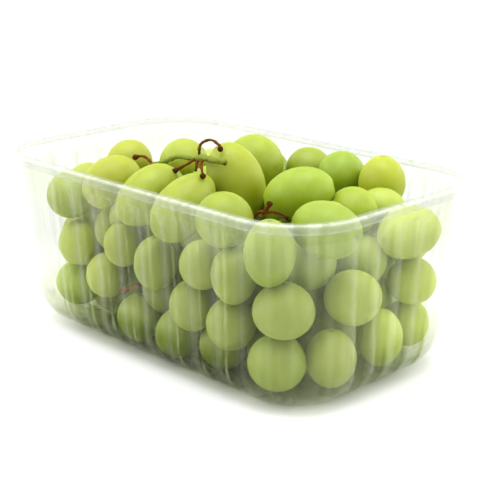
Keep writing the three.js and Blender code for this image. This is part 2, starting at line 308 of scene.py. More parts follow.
def nearest_wall(x, y, z):
    """The outer face of the tray nearest to a point: how far it is, and which way."""
    half_x, half_y = wall_half_sizes(z)
    past_x = abs(x) - (half_x - CORNER)
    past_y = abs(y) - (half_y - CORNER)
    if past_x > 0 and past_y > 0:
        past = math.hypot(past_x, past_y)
        normal = (past_x * sign(x) / past, past_y * sign(y) / past, 0)
    elif past_x > past_y:
        past, normal = past_x, (sign(x), 0, 0)
    else:
        past, normal = past_y, (0, sign(y), 0)
    distance = CORNER - past
    if z >= BASE_RADIUS or distance >= BASE_RADIUS:
        return distance, normal
    inward = BASE_RADIUS - distance
    upward = BASE_RADIUS - z
    span = math.hypot(inward, upward)
    return BASE_RADIUS - span, (normal[0] * inward / span, normal[1] * inward / span, -upward / span)


def push_apart(a, b):
    gap = [q - p for p, q in zip(a.middle, b.middle)]
    distance = math.sqrt(sum(v * v for v in gap))
    if distance > REACH:
        return
    direction = [v / distance for v in gap]
    overlap = a.skin_distance(direction) + b.skin_distance(direction) - PRESSED - distance
    if overlap <= 0:
        return
    step = overlap * SETTLE_STEP / (a.give + b.give)
    for k in range(3):
        a.middle[k] -= direction[k] * step * a.give
        b.middle[k] += direction[k] * step * b.give


def keep_inside(grape):
    distance, normal = nearest_wall(*grape.middle)
    push = grape.extent(normal) + CLEARANCE - distance
    if push > 0:
        grape.middle = [p - n * push for p, n in zip(grape.middle, normal)]
    grape.middle[2] = max(grape.middle[2], grape.extent((0, 0, 1)) + FLOOR_CLEARANCE)
    if grape.give == 1:
        grape.middle[2] = min(grape.middle[2], ceiling_at(*grape.middle[:2]) + HEAP_SLACK)


def lay_out_grapes():
    """Every grape of the heap, pushed apart until they only touch."""
    grapes = placed_grapes()
    add_fill(grapes)
    for _ in range(SETTLE_PASSES):
        for i, a in enumerate(grapes):
            for b in grapes[:i]:
                push_apart(a, b)
        for grape in grapes:
            keep_inside(grape)
    return grapes


# ---------- The grapes that show between those of the layout ----------
BETWEEN = {
    "seed": 23,
    "tries": 20000,
    "passes": 12,
    "x": (-58, 74),
    "y": (-36, 36),
    "z": (9.5, 55),
    "behind_wall": (17.5, 22),  # from the wall's outer face to a middle, when it is tried
    "least_behind": 16.5,  # and at least, once it is eased away from its neighbours
    "top_layer": 51,
    "nearest": 14.5,
    "half_width": (8.6, 9.6),
    "stretch": (1.0, 1.15),
    "rise": (-60, 90),
    "ripe": (0.2, 0.8),
}


def shows_between(middle):
    """Whether a grape there can be seen: it lies just behind the outer ones, or just under the crown."""
    distance = nearest_wall(*middle)[0]
    low, high = BETWEEN["behind_wall"]
    return low < distance < high or (distance > low and middle[2] > BETWEEN["top_layer"])


def grapes_between(others):
    """Further grapes wherever there is room behind the outer ones, eased away from their neighbours."""
    rng = np.random.default_rng(BETWEEN["seed"])
    new = []
    for _ in range(BETWEEN["tries"]):
        middle = tuple(rng.uniform(*BETWEEN[axis]) for axis in "xyz")
        if not shows_between(middle):
            continue
        if any(math.dist(grape.middle, middle) < BETWEEN["nearest"] for grape in others + new):
            continue
        half_width = rng.uniform(*BETWEEN["half_width"])
        half_length = half_width * rng.uniform(*BETWEEN["stretch"])
        bearing = rng.uniform(0, 360)
        rise = rng.uniform(*BETWEEN["rise"])
        ripe = rng.uniform(*BETWEEN["ripe"])
        new.append(Grape(middle, half_length, half_width, bearing, rise, ripe, 1, PALE["fill"]))
    for other in others:
        other.give = 0.0
    for _ in range(BETWEEN["passes"]):
        for i, grape in enumerate(new):
            for other in new[:i] + others:
                push_apart(grape, other)
            keep_inside(grape)
    return [grape for grape in new if nearest_wall(*grape.middle)[0] > BETWEEN["least_behind"]]


# ---------- Helpers for meshes ----------
def new_piece(name, vertices, faces, material, replaced, attributes=None):
    """A smooth mesh from millimetres, which stands for a CAD node and rides on the part's one body."""
    mesh = bpy.data.meshes.new(name)
    mesh.from_pydata((np.asarray(vertices) * MM).tolist(), [], faces)
    mesh.shade_smooth()
    for key, values in (attributes or {}).items():
        layer = mesh.attributes.new(key, "FLOAT", "POINT")
        layer.data.foreach_set("value", np.asarray(values, np.float32))
    mesh.materials.append(material)
    mesh.validate()
    piece = bpy.data.objects.new(name, mesh)
    bpy.context.scene.collection.objects.link(piece)
    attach(piece, "root")
    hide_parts(replaced)


def closed_faces(rows, count):
    """Quads between rings of the same number of points, and a face over the first and the last ring.

    They face outwards where the rings climb.
    """
    faces = []
    for row in range(rows - 1):
        for i in range(count):
            a = row * count + i
            b = row * count + (i + 1) % count
            faces.append((a, b, b + count, a + count))
    last = (rows - 1) * count
    faces.append(tuple(range(count))[::-1])
    faces.append(tuple(range(last, last + count)))
    return faces


def side_name(side):
    """The sides run in turn from the short one at +X."""
    return "long" if side % 2 else "short"


def rounded_ring(stations, half_x, half_y, corner, z, flute_depth=0.0):
    """A rectangle with round corners, with one point for each station.

    A station is a side, how far along its straight stretch from -1 to 1, how far round the corner that
    follows, in radians, and where in a flute it lies, from 0 to 1.
    """
    points = []
    for side, along, turn, phase in stations:
        reach, straight = (half_y, half_x - corner) if side % 2 else (half_x, half_y - corner)
        flute = (1 - math.cos(2 * math.pi * phase)) / 2
        out = reach - corner * (1 - math.cos(turn)) - flute * flute_depth
        across = straight * along + corner * math.sin(turn)
        c, s = ((1, 0), (0, 1), (-1, 0), (0, -1))[side]
        points.append((out * c - across * s, out * s + across * c, z))
    return points


# ---------- Helpers for materials ----------
class Nodes:
    """Short calls that add a node to a material or a world and link it."""

    def __init__(self, owner, output):
        owner.use_nodes = True
        self.owner = owner
        self.tree = owner.node_tree
        self.tree.nodes.clear()
        self.output = self.tree.nodes.new(output)

    def add(self, kind, settings=None, **inputs):
        node = self.tree.nodes.new("ShaderNode" + kind)
        for key, value in (settings or {}).items():
            setattr(node, key, value)
        for key, value in inputs.items():
            self.put(node.inputs[key.replace("_", " ")], value)
        return node

    def put(self, socket, value):
        if isinstance(value, bpy.types.NodeSocket):
            self.tree.links.new(value, socket)
        else:
            socket.default_value = value

    def attribute(self, name):
        return self.add("Attribute", {"attribute_name": name}).outputs["Fac"]

    def place(self):
        return self.add("TexCoord").outputs["Object"]

    def noise(self, scale, detail=2.0):
        return self.add("TexNoise", Vector=self.place(), Scale=scale, Detail=detail).outputs["Fac"]

    def streaks(self, across, up):
        """Noise drawn out into upright streaks: it varies fast along the wall and slowly up it."""
        place = self.add("CombineXYZ")
        self.put(place.inputs[0], self.math("MULTIPLY", self.attribute("along"), across))
        self.put(place.inputs[1], self.math("MULTIPLY", self.attribute("up"), up))
        return self.add("TexNoise", Vector=place.outputs[0], Scale=1.0, Detail=3.0).outputs["Fac"]

    def math(self, operation, *values, clamp=False):
        node = self.add("Math", {"operation": operation, "use_clamp": clamp})
        for socket, value in zip(node.inputs, values):
            self.put(socket, value)
        return node.outputs[0]

    def span(self, value, low, high, to_low=0.0, to_high=1.0):
        """value's stretch from low to high, mapped smoothly to another."""
        node = self.add("MapRange", {"interpolation_type": "SMOOTHSTEP"})
        for socket, v in zip(node.inputs, (value, low, high, to_low, to_high)):
            self.put(socket, v)
        return node.outputs["Result"]

    def mix(self, factor, a, b):
        node = self.add("Mix", {"data_type": "RGBA"})
        for socket, v in zip((node.inputs[0], node.inputs[6], node.inputs[7]), (factor, a, b)):
            self.put(socket, v)
        return node.outputs[2]

    def mix_shaders(self, factor, a, b):
        node = self.add("MixShader", Fac=factor)
        self.put(node.inputs[1], a.outputs[0])
        self.put(node.inputs[2], b.outputs[0])
        return node

    def bump(self, height, strength, distance):
        node = self.add("Bump", Height=height, Strength=strength, Distance=distance)
        return node.outputs["Normal"]

    def surface(self, shader):
        self.put(self.output.inputs["Surface"], shader.outputs[0])
        return self.owner


def material_nodes(name):
    return Nodes(bpy.data.materials.new(name), "ShaderNodeOutputMaterial")


def colour(red, green, blue):
    return (red, green, blue, 1.0)


# ---------- Materials ----------
# The light that the sheet lets through where it is flat, then painted shade where it bends, green low down as
# by the grapes above it and grey higher up, and in the dark spots at its foot; then its milk on the walls,
# tinted green with painted light from the grapes, and at the rim, and its gloss.
PLASTIC = {
    "flat": colour(0.935, 0.94, 0.93),
    "low_bend_shade": colour(0.42, 0.50, 0.03),
    "high_bend_shade": colour(0.42, 0.44, 0.42),
    "spot": colour(0.10, 0.15, 0.0),
    "milk": colour(0.76, 0.85, 0.46),
    "rim_milk": colour(0.77, 0.82, 0.68),
    "gloss": colour(0.97, 0.98, 0.97),
}
# The bends' tint is painted shade.
BEND_HEIGHTS = (15.0, 40.0)  # a bend's tint turns from low to high between them
# The dark spots at the foot are painted shade.
SPOT_HEIGHTS = (12.0, 6.0)  # the dark spots fade in from the first down to the second
MILK_HEIGHTS = (68.0, 73.0)  # the walls' milk turns to the rim's between them
RIPPLE = {"heights": (66.0, 70.0), "strengths": (0.15, 0.03)}  # the wall is wavier than the rim
GLOSS = {"slanting": 0.45, "power": 5.0, "face_on": 0.002}

# Flesh that is green or ripe, bare or pale under a painted veil of light from the milky sheet, then the marks
# on the skin.
GRAPE = {
    "green": colour(0.208, 0.302, 0.001),
    "ripe": colour(0.285, 0.307, 0.0015),
    "veiled_green": colour(0.360, 0.455, 0.095),
    "veiled_ripe": colour(0.455, 0.485, 0.095),
    "mottle": colour(0.36, 0.45, 0.03),
    "bloom": colour(0.38, 0.44, 0.20),
    "speck": colour(0.14, 0.12, 0.03),
    "scar": colour(0.15, 0.12, 0.03),
    "sheen": colour(0.85, 0.95, 0.65),
}
# Painted shade: the dark greens of the heap's inside.
PAINTED_SHADE_GREENS = {"dark": colour(0.09, 0.13, 0.012), "light": colour(0.15, 0.21, 0.02)}
WOOD = {
    "green": colour(0.16, 0.21, 0.025),
    "brown": colour(0.115, 0.033, 0.002),
    "dark": colour(0.05, 0.014, 0.001),
}
# The floor's white near the object, a painted pool of light, and its grey further off: it changes between
# two distances, in metres.
FLOOR_LIGHT_POOL = {"near": colour(0.76, 0.76, 0.76), "far": colour(0.535, 0.535, 0.535), "distances": (0.09, 0.20)}


def sheet_milkiness(n):
    """How milky the sheet is: its painted glint lines, its faint painted streaks of light, and its haze."""
    lines = n.math("MULTIPLY", n.attribute("glint_line"), n.span(n.streaks(0.4, 0.13), 0.35, 0.6, 0.25, 1.0))
    # Faint upright streaks of painted light, as the flutes would bend it.
    lines = n.math("ADD", lines, n.span(n.streaks(0.35, 0.012), 0.5, 0.75, 0.0, 0.04))
    haze = n.math("MULTIPLY", n.attribute("haze"), n.span(n.streaks(0.35, 0.01), 0.35, 0.65, 0.75, 1.2))
    return n.math("ADD", lines, haze, clamp=True)


def sheet_tint(n):
    """The light let through, with painted shade: on the flutes' flanks, round the bends, in faint streaks,
    and most in spots at its foot.
    """
    up = n.attribute("up")
    # Painted shade in faint upright streaks, as the flutes would bend the light.
    shade = n.math("MULTIPLY", n.attribute("shade"), n.span(n.streaks(0.8, 0.03), 0.3, 0.7, 0.7, 1.0))
    shade = n.math("ADD", shade, n.span(n.streaks(0.3, 0.02), 0.5, 0.8, 0.0, 0.08), clamp=True)
    bent = n.mix(n.span(up, *BEND_HEIGHTS), PLASTIC["low_bend_shade"], PLASTIC["high_bend_shade"])
    tint = n.mix(shade, PLASTIC["flat"], bent)
    # Painted shade: dark spots low on the bend.
    spots = n.math("MULTIPLY", n.span(n.streaks(0.3, 0.2), 0.48, 0.6), n.span(up, *SPOT_HEIGHTS))
    spots = n.math("MULTIPLY", spots, n.attribute("shade"))
    return n.mix(spots, tint, PLASTIC["spot"])


def clear_plastic():
    """Thin clear sheet, all but invisible face on, with painted glints, streaks and shade where it is fluted
    and bent.
    """
    n = material_nodes("clear_plastic")
    up = n.attribute("up")
    clear = n.add("BsdfTransparent", Color=sheet_tint(n))
    white = n.mix(n.span(up, *MILK_HEIGHTS), PLASTIC["milk"], PLASTIC["rim_milk"])
    milk = n.add("BsdfPrincipled", Base_Color=white, Roughness=0.3)
    body = n.mix_shaders(sheet_milkiness(n), clear, milk)
    ripple = n.bump(n.noise(90.0, 1.0), n.span(up, *RIPPLE["heights"], *RIPPLE["strengths"]), 0.0005)
    gloss = n.add("BsdfGlossy", Color=PLASTIC["gloss"], Roughness=0.08, Normal=ripple)
    slant = n.add("LayerWeight", Blend=0.5, Normal=ripple).outputs["Facing"]
    mirrored = n.math("MULTIPLY", n.math("POWER", slant, GLOSS["power"]), GLOSS["slanting"])
    mirrored = n.math("ADD", mirrored, GLOSS["face_on"])
    return n.surface(n.mix_shaders(mirrored, body, gloss))


def grape_colour(n):
    """Green to ripe flesh, paler under a painted veil, mottled, with bloom, specks and a stalk scar, then
    painted light and shade.
    """
    bare = n.mix(n.attribute("ripe"), GRAPE["green"], GRAPE["ripe"])
    pale = n.mix(n.attribute("ripe"), GRAPE["veiled_green"], GRAPE["veiled_ripe"])
    skin = n.mix(n.attribute("pale"), bare, pale)
    mottle = n.span(n.noise(160.0, 3.0), 0.35, 0.75)
    skin = n.mix(n.math("MULTIPLY", mottle, 0.25), skin, GRAPE["mottle"])
    skin = n.mix(n.span(n.noise(45.0), 0.5, 0.8, 0.0, 0.08), skin, GRAPE["bloom"])
    specks = n.add("TexVoronoi", {"feature": "F1"}, Vector=n.place(), Scale=230.0)
    skin = n.mix(n.span(specks.outputs["Distance"], 0.05, 0.08, 0.4, 0.0), skin, GRAPE["speck"])
    skin = n.mix(n.attribute("scar"), skin, GRAPE["scar"])
    # Each grape's colour is scaled by its painted light and shade.
    skin_in_painted_light = n.add("VectorMath", {"operation": "SCALE"}, Scale=n.attribute("painted_light_level"))
    n.put(skin_in_painted_light.inputs[0], skin)
    return skin_in_painted_light.outputs[0]


def grape_skin():
    """Translucent flesh under a thin waxy skin, each grape somewhere between green and yellow."""
    n = material_nodes("grape_skin")
    roughness = n.span(n.noise(70.0), 0.3, 0.8, 0.42, 0.55)
    pores = n.bump(n.noise(900.0), 0.06, 0.0003)
    shader = n.add("BsdfPrincipled", Base_Color=grape_colour(n), Roughness=roughness, Normal=pores)
    n.put(shader.inputs["Subsurface Weight"], 0.9)
    n.put(shader.inputs["Subsurface Radius"], (1.0, 1.0, 0.2))
    n.put(shader.inputs["Subsurface Scale"], 0.010)
    n.put(shader.inputs["Specular IOR Level"], 0.45)
    n.put(shader.inputs["Sheen Weight"], 0.05)
    n.put(shader.inputs["Sheen Roughness"], 0.5)
    n.put(shader.inputs["Sheen Tint"], GRAPE["sheen"])
    return n.surface(shader)


def heap_shade():
    """The dim green between the grapes, which is painted shade."""
    n = material_nodes("heap_shade")
    green = n.mix(n.span(n.noise(110.0, 3.0), 0.3, 0.7), PAINTED_SHADE_GREENS["dark"], PAINTED_SHADE_GREENS["light"])
    lumps = n.bump(n.noise(300.0), 0.4, 0.001)
    return n.surface(n.add("BsdfPrincipled", Base_Color=green, Roughness=0.7, Normal=lumps))


def stalk_wood():
    """Dull stalk: green where it is thick, red-brown where it branches and dark brown at its ends."""
    n = material_nodes("stalk_wood")
    age = n.math("ADD", n.attribute("age"), n.span(n.noise(350.0, 3.0), 0.25, 0.75, -0.22, 0.22))
    wood = n.mix(n.span(age, 0.15, 0.45), WOOD["green"], WOOD["brown"])
    wood = n.mix(n.span(age, 0.55, 0.95), wood, WOOD["dark"])
    grain = n.bump(n.noise(1500.0, 3.0), 0.5, 0.0003)
    shader = n.add("BsdfPrincipled", Base_Color=wood, Roughness=0.75, Normal=grain)
    n.put(shader.inputs["Specular IOR Level"], 0.08)
    return n.surface(shader)


def plain_floor():
    """White, slightly uneven, and greyer away from the object: the whiter middle is a painted pool of light.
    """
    n = material_nodes("plain_floor")
    distance = n.add("VectorMath", {"operation": "LENGTH"})
    n.put(distance.inputs[0], n.place())
    away = n.span(distance.outputs["Value"], *FLOOR_LIGHT_POOL["distances"])
    uneven = n.span(n.noise(3.0), 0.3, 0.7, 0.0, 0.06)
    white = n.mix(n.math("ADD", away, uneven, clamp=True), FLOOR_LIGHT_POOL["near"], FLOOR_LIGHT_POOL["far"])
    return n.surface(n.add("BsdfPrincipled", Base_Color=white, Roughness=0.7))


# ---------- The tray ----------
FLUTE_STEPS = 24
CORNER_STEPS = 18
BEND_STEPS = 9
WALL_ROWS = 8
FLUTE_TOP = HEIGHT - 9
SMOOTH_WALL = (FLUTE_TOP + 0.8, FLUTE_TOP + 1.4)  # heights at which the wall has lost its flutes

# Where in a flute its painted glint line and its painted dark flank lie, from 0 to 1, and how wide they are.
GLINT_LINE = {"long": 0.17, "short": 0.36, "width": 0.032, "strength": 1.3}
DARK_FLANK = {"long": 0.67, "short": 0.82, "width": 0.1}
# The painted glint line down each corner: how far round it from the short side, in radians.
CORNER_LINE = {"turn": 0.57, "width": 0.05, "strength": 0.6}
# How dark a bend that runs round the tray is painted on each side, as painted shade, and how much of that a
# side's ends lose.
ROUND_SHADE = {"long": 1.0, "short": 0.5, "corner": 0.2, "ends_from": 0.6, "ends_lose": 0.85}
BEND_SHADE = 0.45

# The sheet's two faces: how far in each is, how strong the flutes' painted glint lines and painted dark
# flanks are in the bend and on the wall, and how much milkier it is than HAZE: at the top, and on the short
# sides, where the extra milk is painted light.
HAZE = 0.017
TOP_HEIGHTS = (50, 68)
OUTER_FACE = {
    "inset": 0,
    "bend": {"glint_line": 0.17, "flank": 0.8},
    "wall": {"glint_line": 0.11, "flank": 0.25},
    "top_haze": 0.17,
    "end_light_haze": {"bend": 0.12, "wall": 0.055},
}
INNER_FACE = {
    "inset": SHEET,
    "bend": {"glint_line": 0.0, "flank": 0.0},
    "wall": {"glint_line": 0.0, "flank": 0.0},
    "top_haze": 0.0,
    "end_light_haze": {"bend": 0.0, "wall": 0.0},
}


def tray_stations():
    """The stations of every ring of the tray."""
    stations = []
    for side in range(4):
        count = FLUTES[side_name(side)] * FLUTE_STEPS
        for i in range(count):
            stations.append((side, 2 * i / count - 1, 0.0, i % FLUTE_STEPS / FLUTE_STEPS))
        for i in range(CORNER_STEPS):
            stations.append((side, 1.0, i / CORNER_STEPS * math.pi / 2, 0.0))
    return stations


STATIONS = tray_stations()


def near(phase, middle, width):
    """1 at middle, and fading out to either side over about width."""
    return math.exp(-(((phase - middle) / width) ** 2))


def glint_line_at(station):
    """Painted highlight: a thin glint line down each flute, and one down each corner."""
    side, _, turn, phase = station
    if turn > 0:
        from_short_side = math.pi / 2 - turn if side % 2 else turn
        return CORNER_LINE["strength"] * near(from_short_side, CORNER_LINE["turn"], CORNER_LINE["width"])
    return GLINT_LINE["strength"] * near(phase, GLINT_LINE[side_name(side)], GLINT_LINE["width"])


def flank_at(station):
    """Painted shade: how dark a flute's steeper flank is painted, for the light it bends away."""
    side, _, turn, phase = station
    if turn > 0:
        return 0.0
    return near(phase, DARK_FLANK[side_name(side)], DARK_FLANK["width"])


def round_shade_at(station):
    """How dark a bend that runs round the tray is painted: painted shade."""
    side, along, turn, _ = station
    if turn > 0:
        return ROUND_SHADE["corner"]
    lost = ROUND_SHADE["ends_lose"] * smooth(abs(along), ROUND_SHADE["ends_from"], 1.0)
    return ROUND_SHADE[side_name(side)] * (1 - lost)


def end_share_at(station):
    """1 on the short sides, 0 on the long ones, and smoothly between round the corners."""
    side, _, turn, _ = station
    return math.sin(turn) ** 2 if side % 2 else math.cos(turn) ** 2


def rim_ring(inset, z):
    half_x, half_y = RIM_LENGTH / 2 - inset, RIM_WIDTH / 2 - inset
    return rounded_ring(STATIONS, half_x, half_y, RIM_CORNER - inset, z)


def wall_ring(inset, z, flute_depth=0.0):
    half_x, half_y = wall_half_sizes(z)
    return rounded_ring(STATIONS, half_x - inset, half_y - inset, CORNER - inset, z, flute_depth)


class Sheet:
    """The tray's sheet as a run of rings, with how it looks at each of their points."""

    glint_lines = [glint_line_at(station) for station in STATIONS]
    flanks = [flank_at(station) for station in STATIONS]
    round_shades = [round_shade_at(station) for station in STATIONS]
    end_shares = [end_share_at(station) for station in STATIONS]

    def __init__(self):
        outline = np.array(wall_ring(0, HEIGHT / 2))
        steps = np.linalg.norm(np.roll(outline, -1, axis=0) - outline, axis=1)
        self.along = [0.0, *np.cumsum(steps)[:-1]]
        self.rings = []
        self.looks = {"haze": [], "glint_line": [], "shade": [], "along": [], "up": []}

    def add(self, points, haze, glint_line=0.0, flank=0.0, all_round=0.0, end_light_haze=0.0):
        """One more ring: flank is how dark its flutes' flanks are painted, and all_round how dark it is
        painted at least, both painted shade.
        """
        shades = [max(flank * f, all_round * r) for f, r in zip(self.flanks, self.round_shades)]
        self.rings.append(points)
        self.looks["haze"] += [haze + end_light_haze * share for share in self.end_shares]
        self.looks["glint_line"] += [glint_line * value for value in self.glint_lines]
        self.looks["shade"] += shades
        self.looks["along"] += self.along
        self.looks["up"] += [point[2] for point in points]

    def add_bend(self, face, steps):
        """The bend between the base, at step 0, and the wall."""
        radius = BASE_RADIUS - face["inset"]
        for i in steps:
            share = i / BEND_STEPS
            angle = share * math.pi / 2
            inset = BASE_RADIUS - radius * math.sin(angle)
            z = BASE_RADIUS - radius * math.cos(angle)
            # The short sides' extra milk is painted light.
            end_light_haze = face["end_light_haze"]["bend"] * (1 - share) + face["end_light_haze"]["wall"] * share
            points = wall_ring(inset, z, FLUTE_DEPTH * share)
            self.add(points, HAZE, **face["bend"], all_round=BEND_SHADE, end_light_haze=end_light_haze)

    def add_wall(self, face, rows):
        """The fluted wall, from the bend's end, at row 0, to the flutes' top."""
        for i in rows:
            z = BASE_RADIUS + (FLUTE_TOP - BASE_RADIUS) * i / WALL_ROWS
            haze = HAZE + face["top_haze"] * smooth(z, *TOP_HEIGHTS)
            points = wall_ring(face["inset"], z, FLUTE_DEPTH)
            self.add(points, haze, **face["wall"], end_light_haze=face["end_light_haze"]["wall"])

    def add_rim(self):
        """Up the smooth wall, out under the flange, round the skirt, and back over it to the inner face."""
        under, edge = HEIGHT - SHEET, HEIGHT - SKIRT
        haze = HAZE + OUTER_FACE["top_haze"]
        # A painted dark line where the flutes end, on their flanks.
        self.add(wall_ring(0.0, SMOOTH_WALL[0]), haze, flank=0.3)
        self.add(wall_ring(0.0, SMOOTH_WALL[1]), haze)
        self.add(wall_ring(0.0, under - 0.8), haze)
        # The outline that each ring follows, how far inside it, how high, how milky and how dark. The milk
        # draws the rim's milky band and its bright lines, which are painted highlights, and the darkness its
        # grey lines, which are painted shade.
        for outline, inset, z, milky, dark in (
            (wall_ring, -0.3, under - 0.2, 0.0, 0.0),
            (wall_ring, -0.8, under, 0.0, 0.0),
            (rim_ring, SHEET + 0.6, under, 0.0, 0.0),
            (rim_ring, SHEET + 0.15, under - 0.3, 0.0, 0.0),
            (rim_ring, SHEET, under - 0.8, 0.0, 0.0),
            (rim_ring, SHEET, edge + 0.2, 0.0, 0.0),
            (rim_ring, SHEET - 0.15, edge, 0.1, 0.45),
            (rim_ring, 0.15, edge, 0.1, 0.45),
            (rim_ring, 0.0, edge + 0.25, 0.22, 0.2),
            (rim_ring, 0.0, edge + 0.55, 0.22, 0.1),
            (rim_ring, 0.0, edge + 0.9, 0.1, 0.0),
            (rim_ring, 0.0, HEIGHT - 1.4, 0.12, 0.1),
            (rim_ring, 0.0, HEIGHT - 0.9, 0.2, 0.15),
            (rim_ring, 0.15, HEIGHT - 0.45, 0.3, 0.2),
            (rim_ring, 0.45, HEIGHT - 0.15, 0.4, 0.15),
            (rim_ring, 1.0, HEIGHT, 0.4, 0.12),
            (rim_ring, 1.8, HEIGHT, 0.25, 0.08),
            (rim_ring, 2.6, HEIGHT, 0.12, 0.0),
            (wall_ring, SHEET - 0.9, HEIGHT, 0.12, 0.0),
            (wall_ring, SHEET - 0.3, HEIGHT - 0.2, 0.15, 0.0),
            (wall_ring, SHEET, HEIGHT - 0.9, 0.05, 0.0),
            (wall_ring, SHEET, SMOOTH_WALL[1], 0.0, 0.0),
            (wall_ring, SHEET, SMOOTH_WALL[0], 0.0, 0.0),
        ):
            self.add(outline(inset, z), milky, flank=dark, all_round=dark)


def tray():
    sheet = Sheet()
    sheet.add_bend(OUTER_FACE, range(BEND_STEPS + 1))
    sheet.add_wall(OUTER_FACE, range(1, WALL_ROWS + 1))
    sheet.add_rim()
    sheet.add_wall(INNER_FACE, range(WALL_ROWS, 0, -1))
    sheet.add_bend(INNER_FACE, range(BEND_STEPS, -1, -1))
    vertices = [point for points in sheet.rings for point in points]
    faces = closed_faces(len(sheet.rings), len(STATIONS))
    new_piece("punnet", vertices, faces, clear_plastic(), "tray", sheet.looks)


# ---------- The grapes ----------
DETAIL = {"grape_heap": (32, 22), "inner_grapes": (24, 16)}  # a grape's sides and rings
POLE_SHIFT = 0.3  # the most that a ring is moved towards its pole, in ring spacings
GRAPE_SEED = 11
ANY_PHASE = (0, 6.3)

# How a grape departs from a spheroid, as shares of its half sizes: blunter at one end, waves round it and
# along it, and at its stalk a dimple with a low collar. Places and widths at an end are in radians from it.
FORM = {
    "egg": (-0.02, 0.07),
    "waves_round": (2, 3),
    "round_height": (0.004, 0.016),
    "waves_along": 3,
    "along_height": (0.0, 0.012),
    "dimple": {"depth": 0.035, "width": 0.16},
    "collar": {"height": 0.012, "from_stalk": 0.3, "width": 0.12},
    "scar": {"stalk": 0.1, "tip": 0.06, "tip_strength": 0.4},
}

# Painted light and shade: how light a grape's colour is painted, against 1 in the middle of the crown. Low in
# the punnet it is painted darker, though each end makes up for a share of that, and darker again behind the
# grapes that touch a wall. High up, only a grape near a wall is darker. Each pair is where a change begins
# and ends.
PAINTED_LIGHT_LEVEL = {
    "low": 0.68,
    "heights": (40, 64),
    "right_lift": 1.35,
    "right_end": (34, 60),
    "left_lift": 0.75,
    "left_end": (38, 60),
    "deep": 0.75,
    "depths": (3, 8),
    "outer": 0.88,
    "near_wall": (14, 20),
}


def unit_grape(sides, rings):
    """A ball of half size 1 with its poles along Z, closer in detail at the poles: points and faces."""
    points = [(0.0, 0.0, 1.0)]
    for i in range(1, rings):
        share = i / rings
        angle = math.pi * share - POLE_SHIFT * math.pi / rings * math.sin(2 * math.pi * share)
        radius = math.sin(angle)
        for j in range(sides):
            turn = 2 * math.pi * j / sides
            points.append((radius * math.cos(turn), radius * math.sin(turn), math.cos(angle)))
    points.append((0.0, 0.0, -1.0))
    faces = []
    last = 1 + (rings - 2) * sides
    for j in range(sides):
        beside = (j + 1) % sides
        faces.append((0, 1 + j, 1 + beside))
        faces.append((len(points) - 1, last + beside, last + j))
        for row in range(rings - 2):
            above = 1 + row * sides
            faces.append((above + j, above + sides + j, above + sides + beside, above + beside))
    return np.array(points), faces


def grape_points(unit, grape, rng):
    """One grape's skin: a slightly egg-shaped, lumpy spheroid with a dimple where its stalk was."""
    x, y, z = unit.T
    egg = 1 - rng.uniform(*FORM["egg"]) * z
    turn = np.arctan2(y, x)
    lump = np.ones(len(unit))
    for waves in FORM["waves_round"]:
        height, phase = rng.uniform(*FORM["round_height"]), rng.uniform(*ANY_PHASE)
        lump += height * np.sin(waves * turn + phase) * (x * x + y * y)
    height, phase = rng.uniform(*FORM["along_height"]), rng.uniform(*ANY_PHASE)
    lump += height * np.sin(FORM["waves_along"] * z + phase)
    dimple, collar, scar = FORM["dimple"], FORM["collar"], FORM["scar"]
    from_stalk = np.arccos(np.clip(z, -1, 1))
    sunk = dimple["depth"] * np.exp(-((from_stalk / dimple["width"]) ** 2))
    sunk -= collar["height"] * np.exp(-(((from_stalk - collar["from_stalk"]) / collar["width"]) ** 2))
    shape = np.stack([x * egg * lump, y * egg * lump, z * lump - sunk], 1)
    sized = shape * (grape.half_width, grape.half_width, grape.half_length)
    axis = Vector(grape.axis) * (1 if rng.random() < 0.5 else -1)
    turned = sized @ np.array(axis.to_track_quat("Z", "Y").to_matrix()).T
    scars = np.exp(-((from_stalk / scar["stalk"]) ** 4))
    scars += scar["tip_strength"] * np.exp(-(((math.pi - from_stalk) / scar["tip"]) ** 4))
    return turned + np.array(grape.middle), scars


def painted_light_level_of(grape):
    """How light a grape is painted: its painted light and shade."""
    x, y, z = grape.middle
    along = x * ROOM["across"][0] + y * ROOM["across"][1]
    right = PAINTED_LIGHT_LEVEL["right_lift"] * smooth(along, *PAINTED_LIGHT_LEVEL["right_end"])
    left = PAINTED_LIGHT_LEVEL["left_lift"] * smooth(-along, *PAINTED_LIGHT_LEVEL["left_end"])
    from_wall = nearest_wall(x, y, z)[0]
    depth = from_wall - grape.half_width - CLEARANCE
    low = PAINTED_LIGHT_LEVEL["low"] + (1 - PAINTED_LIGHT_LEVEL["low"]) * (right + left)
    low *= 1 - (1 - PAINTED_LIGHT_LEVEL["deep"]) * smooth(depth, *PAINTED_LIGHT_LEVEL["depths"])
    high = PAINTED_LIGHT_LEVEL["outer"] + (1 - PAINTED_LIGHT_LEVEL["outer"]) * smooth(from_wall, *PAINTED_LIGHT_LEVEL["near_wall"])
    return low + (max(high, low) - low) * smooth(z, *PAINTED_LIGHT_LEVEL["heights"])


def grape_piece(name, grapes, material, rng):
    """One mesh of many grapes, each with its own looks."""
    unit, unit_faces = unit_grape(*DETAIL[name])
    points, faces = [], []
    looks = {"scar": [], "ripe": [], "pale": [], "painted_light_level": []}
    for number, grape in enumerate(grapes):
        skin, scars = grape_points(unit, grape, rng)
        points.append(skin)
        faces += [tuple(i + number * len(unit) for i in face) for face in unit_faces]
        looks["scar"].extend(scars)
        looks["ripe"] += [grape.ripe] * len(unit)
        looks["pale"] += [grape.pale] * len(unit)
        looks["painted_light_level"] += [painted_light_level_of(grape)] * len(unit)
    new_piece(name, np.concatenate(points), faces, material, "grapes", looks)


def grapes():
    rng = np.random.default_rng(GRAPE_SEED)
    material = grape_skin()
    laid = lay_out_grapes()
    grape_piece("grape_heap", laid, material, rng)
    grape_piece("inner_grapes", grapes_between(laid), material, rng)


